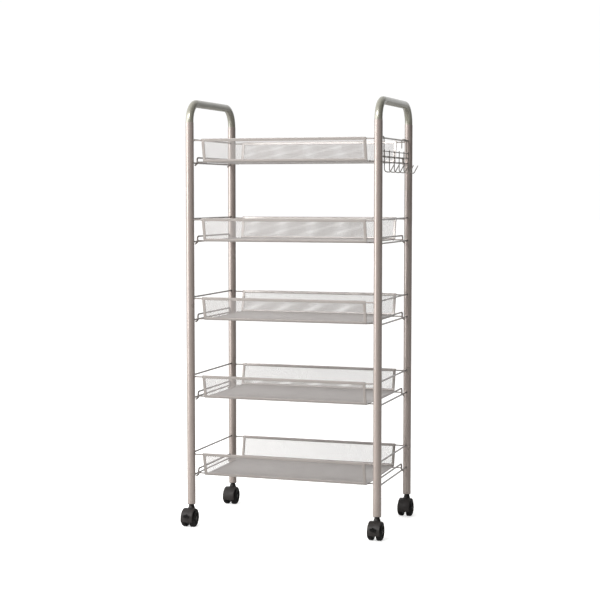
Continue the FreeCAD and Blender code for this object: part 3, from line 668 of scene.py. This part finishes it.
# %% The rib tree
rib_tree, knob, out = new_tree("wheel_ribs", Ribs="int", Inner="float", Outer="float", Thick="float",
                               Height="float", Centre="vector", Coat="material")
rib_size = add(rib_tree, "ShaderNodeCombineXYZ", {
    0: knob["Height"], 1: knob["Thick"], 2: maths("SUBTRACT", knob["Outer"], knob["Inner"], rib_tree)})
rib = add(rib_tree, "GeometryNodeMeshCube", {"Size": rib_size.outputs[0]})
row = add(rib_tree, "GeometryNodeMeshLine", {"Count": knob["Ribs"]})
angle = maths("MULTIPLY", add(rib_tree, "GeometryNodeInputIndex").outputs[0],
              maths("DIVIDE", 2 * math.pi, knob["Ribs"], rib_tree), rib_tree)
distance = maths("MULTIPLY", maths("ADD", knob["Inner"], knob["Outer"], rib_tree), 0.5, rib_tree)
spot_y = maths("MULTIPLY", maths("SINE", angle, 0.0, rib_tree), distance, rib_tree)
spot_z = maths("MULTIPLY", maths("COSINE", angle, 0.0, rib_tree), distance, rib_tree)
spot = add(rib_tree, "ShaderNodeCombineXYZ", {1: maths("MULTIPLY", spot_y, -1.0, rib_tree), 2: spot_z})
moved = add(rib_tree, "GeometryNodeSetPosition", {"Geometry": row.outputs[0],
                                                  "Position": spot.outputs[0]})
swing = add(rib_tree, "FunctionNodeEulerToRotation", {
    0: add(rib_tree, "ShaderNodeCombineXYZ", {0: angle}).outputs[0]})
ribs = add(rib_tree, "GeometryNodeInstanceOnPoints", {
    "Points": moved.outputs[0], "Instance": rib.outputs[0], "Rotation": swing.outputs[0]})
placed = add(rib_tree, "GeometryNodeTransform", {0: ribs.outputs[0], "Translation": knob["Centre"]})
joined = add(rib_tree, "GeometryNodeJoinGeometry", {0: placed.outputs[0]})
real = add(rib_tree, "GeometryNodeRealizeInstances", {0: joined.outputs[0]})
coated = add(rib_tree, "GeometryNodeSetMaterial", {0: real.outputs[0], "Material": knob["Coat"]})
rib_tree.links.new(knob["Geometry"], joined.inputs[0])
rib_tree.links.new(coated.outputs[0], out[0])
print("wheel rib tree:", len(rib_tree.nodes), "nodes")

# %% Turn the eight wheels
wheel_radius, wheel_width = 21 * MM, 13 * MM
axle_hole = 3.05 * MM
shoulder = [(1 - math.cos(n * math.pi / 14), 1 - math.sin(n * math.pi / 14)) for n in range(8)]
inner_round, outer_round = 2.2 * MM, 5.5 * MM
groove_place, groove_depth = 0.4, 0.35
dish_depth, cap_depth = 1.4 * MM, 2 * MM
rib_inner, rib_outer, rib_thick, rib_height = 6 * MM, 13.6 * MM, 1.1 * MM, 1.2 * MM


def wheel_outline(sign):
    """The wheel's section from the inside of its axle hole, over the tread, to the hub's cap."""
    inner, outer = 0.0, wheel_width
    tread_in = [(inner + inner_round * a, wheel_radius - inner_round * b) for a, b in shoulder]
    tread_out = [(outer - outer_round * a, wheel_radius - outer_round * b)
                 for a, b in reversed(shoulder)]
    groove = [(wheel_width * groove_place + step * MM, wheel_radius - depth * MM)
              for step, depth in ((-1.1, 0), (-0.8, groove_depth), (0.8, groove_depth), (1.1, 0))]
    bead = [(outer - 0.4 * MM, 15.1 * MM), (outer - 0.4 * MM, 14.4 * MM), (outer, 14 * MM)]
    dish = [(outer - dish_depth, 13.4 * MM), (outer - dish_depth, 6.6 * MM)]
    hub = [(outer - 0.3 * MM, 6 * MM), (outer, 5.6 * MM), (outer, 1.6 * MM), (outer - 0.4 * MM, 0)]
    outline = [(outer - cap_depth, 0), (outer - cap_depth, axle_hole), (inner, axle_hole), *tread_in,
               *groove, *tread_out, *bead, *dish, *hub]
    return [(distance * sign, radius) for distance, radius in outline]


for corner in CORNERS:
    for side, sign in zip(SIDES, (-1, 1)):
        low, high, middle = span(f"{corner}_{side}_wheel")
        inner_face = Vector((high.x if sign < 0 else low.x, middle.y, wheel_radius))
        disc = turned(f"{corner}_{side}_disc", wheel_outline(sign), inner_face, "x", wheel_nylon,
                      sides=72)
        rib_middle = inner_face + Vector((sign * (wheel_width - rib_height), 0, 0))
        wheel = bake(disc, f"{corner}_{side}_wheel_disc", rib_tree, Ribs=10, Inner=rib_inner,
                     Outer=rib_outer, Thick=rib_thick, Height=rib_height, Centre=rib_middle,
                     Coat=wheel_nylon)
        place_piece(wheel, f"{corner}_{side}_wheel", "caster_wheel", f"{corner}_{side}_wheel")
print("one wheel has", len(wheel.data.polygons), "faces")

# %% [markdown]
# ## Hoods and brake levers
# The hood is one moulding: a round cover, a web between the wheels, and a neck for the stem. The frame
# already has its true shape with sharp edges, and a mould never leaves one. So a copy of the frame's
# part is welded into one skin, its flat areas are merged, and its edges are rounded by half a
# millimetre. The lever is treated the same way, and gets the grip ribs that a shoe needs.


# %% Round the edges of a moulding
def rounded_moulding(node, piece_name, radius, coat):
    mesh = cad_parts[node].data.copy()
    shape = bmesh.new()
    shape.from_mesh(mesh)
    bmesh.ops.remove_doubles(shape, verts=shape.verts, dist=0.001 * MM)
    bmesh.ops.dissolve_limit(shape, angle_limit=math.radians(0.5), verts=shape.verts, edges=shape.edges)
    shape.to_mesh(mesh)
    shape.free()
    mesh.materials.clear()
    mesh.materials.append(coat)
    source = bpy.data.objects.new("moulding", mesh)
    bpy.context.scene.collection.objects.link(source)
    edge = source.modifiers.new("edge", "BEVEL")
    edge.width, edge.segments, edge.limit_method, edge.angle_limit = radius, 2, "ANGLE", math.radians(35)
    return bake(source, piece_name)


hood_edge, lever_edge = 0.5 * MM, 0.35 * MM
for corner in CORNERS:
    hood = rounded_moulding(f"{corner}_hood", f"{corner}_hood_shell", hood_edge, hood_nylon)
    place_piece(hood, f"{corner}_caster", "caster_hood", f"{corner}_hood")
print("one hood has", len(hood.data.polygons), "faces")

# %% The grip rib tree
grip_tree, knob, out = new_tree("grip_ribs", Ribs="int", First="vector", Step="vector", Bar="vector",
                                Slope="float", Coat="material")
bar = add(grip_tree, "GeometryNodeMeshCube", {"Size": knob["Bar"]})
row = add(grip_tree, "GeometryNodeMeshLine", {"Count": knob["Ribs"], "Start Location": knob["First"],
                                              "Offset": knob["Step"]})
tilt = add(grip_tree, "ShaderNodeCombineXYZ", {0: knob["Slope"]})
turn = add(grip_tree, "FunctionNodeEulerToRotation", {0: tilt.outputs[0]})
ribs = add(grip_tree, "GeometryNodeInstanceOnPoints", {
    "Points": row.outputs[0], "Instance": bar.outputs[0], "Rotation": turn.outputs[0]})
joined = add(grip_tree, "GeometryNodeJoinGeometry", {0: ribs.outputs[0]})
grip_tree.links.new(knob["Geometry"], joined.inputs[0])
real = add(grip_tree, "GeometryNodeRealizeInstances", {0: joined.outputs[0]})
coated = add(grip_tree, "GeometryNodeSetMaterial", {0: real.outputs[0], "Material": knob["Coat"]})
grip_tree.links.new(coated.outputs[0], out[0])
print("grip rib tree:", len(grip_tree.nodes), "nodes")

# %% The two brake levers
tab_length, tab_fall = 6 * MM, 2.6 * MM
rib_count, rib_bar = 3, (10 * MM, 0.7 * MM, 0.8 * MM)
for side in SIDES:
    node = f"front_{side}_brake_lever"
    blank = rounded_moulding(node, f"front_{side}_lever_blank", lever_edge, lever_nylon)
    low, high, middle = span(node)
    step = Vector((0, -tab_length, -tab_fall)) / (rib_count + 1)
    tab_root = Vector((middle.x, low.y + tab_length, high.z))
    lever = bake(blank, f"front_{side}_brake_pedal", grip_tree, Ribs=rib_count, First=tab_root + step,
                 Step=step, Bar=rib_bar, Slope=math.atan2(tab_fall, tab_length), Coat=lever_nylon)
    place_piece(lever, node, "brake_lever", node)
print("one lever has", len(lever.data.polygons), "faces")

# %% [markdown]
# ## The small parts that stay
# The plugs, stems and axles keep the frame's own shape, because a turned pin is already right. They only
# need their real finish in place of the frame's plain colour.

# %% Plugs, stems and axles
for corner in CORNERS:
    for part, finish in (("socket", plug_nylon), ("stem", zinc), ("axle", zinc)):
        for material_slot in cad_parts[f"{corner}_{part}"].material_slots:
            material_slot.material = finish
print("12 small parts finished")

# %% [markdown]
# ## Floor, light and camera
# The cart is shown as a shop would show it: a pale floor that runs into a white room. One wall of light
# stands on the left, and a lamp shines from high in front. For everything but the eye, the right side
# of the room is dark and the floor is only pale grey, because round silver tube looks round when it has
# something dark to mirror on one edge and something bright on the other.

# %% The pale floor
floor_mesh = bpy.data.meshes.new("studio_floor")
FLOOR = 40.0
floor_lift = 0.62
floor_mesh.from_pydata([(-FLOOR, -FLOOR, 0), (FLOOR, -FLOOR, 0), (FLOOR, FLOOR, 0), (-FLOOR, FLOOR, 0)], [],
                       [(0, 1, 2, 3)])
floor_paint = bpy.data.materials.new("pale_floor_paint")
floor_paint.use_nodes = True
floor_shader = floor_paint.node_tree.nodes["Principled BSDF"]
floor_shader.inputs["Base Color"].default_value = linear("#dedddb")
floor_shader.inputs["Roughness"].default_value = 0.9
floor_shader.inputs["Specular IOR Level"].default_value = 0.1
floor_shader.inputs["Emission Color"].default_value = linear("#ffffff")
seen = add(floor_paint.node_tree, "ShaderNodeLightPath").outputs["Is Camera Ray"]
lift = add(floor_paint.node_tree, "ShaderNodeMath", {0: seen, 1: floor_lift}, operation="MULTIPLY")
floor_paint.node_tree.links.new(lift.outputs[0], floor_shader.inputs["Emission Strength"])
floor_mesh.materials.append(floor_paint)
studio_floor = bpy.data.objects.new("studio_floor", floor_mesh)
bpy.context.scene.collection.objects.link(studio_floor)
print("floor of", 2 * FLOOR, "m")

# %% The room's light
room = bpy.data.worlds.new("studio_room")
bpy.context.scene.world = room
room.use_nodes = True
air = room.node_tree
toward = add(air, "ShaderNodeTexCoord").outputs["Generated"]
bright_side, dark_strength, bright_strength = (-0.86, 0.42, 0.28), 0.07, 1.02
facing = add(air, "ShaderNodeVectorMath", {0: toward, 1: bright_side}, operation="DOT_PRODUCT")
level = add(air, "ShaderNodeMapRange", {
    "Value": facing.outputs["Value"], "From Min": -0.25, "From Max": 0.3,
    "To Min": dark_strength, "To Max": bright_strength}, interpolation_type="SMOOTHSTEP")
seen = add(air, "ShaderNodeLightPath").outputs["Is Camera Ray"]
strength = add(air, "ShaderNodeMix", {0: seen, 2: level.outputs["Result"], 3: bright_strength},
               data_type="FLOAT")
air.links.new(strength.outputs[0], air.nodes["Background"].inputs["Strength"])
air.nodes["Background"].inputs["Color"].default_value = linear("#ffffff")

aim = Vector((middle_x, middle_y, 0.5))
lamps = (("wall_of_light", (-2.5, -1.55, 1.25), 1.9, 2.5, 85),
         ("high_front", (-0.45, -1.9, 2.0), 1.2, 1.0, 56))
for lamp_name, place, width, height, power in lamps:
    lamp = bpy.data.lights.new(lamp_name, "AREA")
    lamp.shape, lamp.size, lamp.size_y, lamp.energy = "RECTANGLE", width, height, power
    holder = bpy.data.objects.new(lamp_name, lamp)
    holder.location = place
    holder.rotation_euler = (aim - Vector(place)).to_track_quat("-Z", "Y").to_euler()
    bpy.context.scene.collection.objects.link(holder)
print("lamps:", [light.name for light in bpy.data.lights])

# %% The camera
lens = bpy.data.cameras.new("shop_camera")
lens.lens, lens.sensor_width = 89.77, 36.0
shop_camera = bpy.data.objects.new("shop_camera", lens)
shop_camera.location = (1.15328, -3.50725, 0.8183)
shop_camera.rotation_euler = (math.radians(85.92), 0, math.radians(18.27))
bpy.context.scene.collection.objects.link(shop_camera)
bpy.context.scene.camera = shop_camera
bpy.context.scene.view_settings.view_transform = "Standard"
print("camera at", [round(part, 2) for part in shop_camera.location])
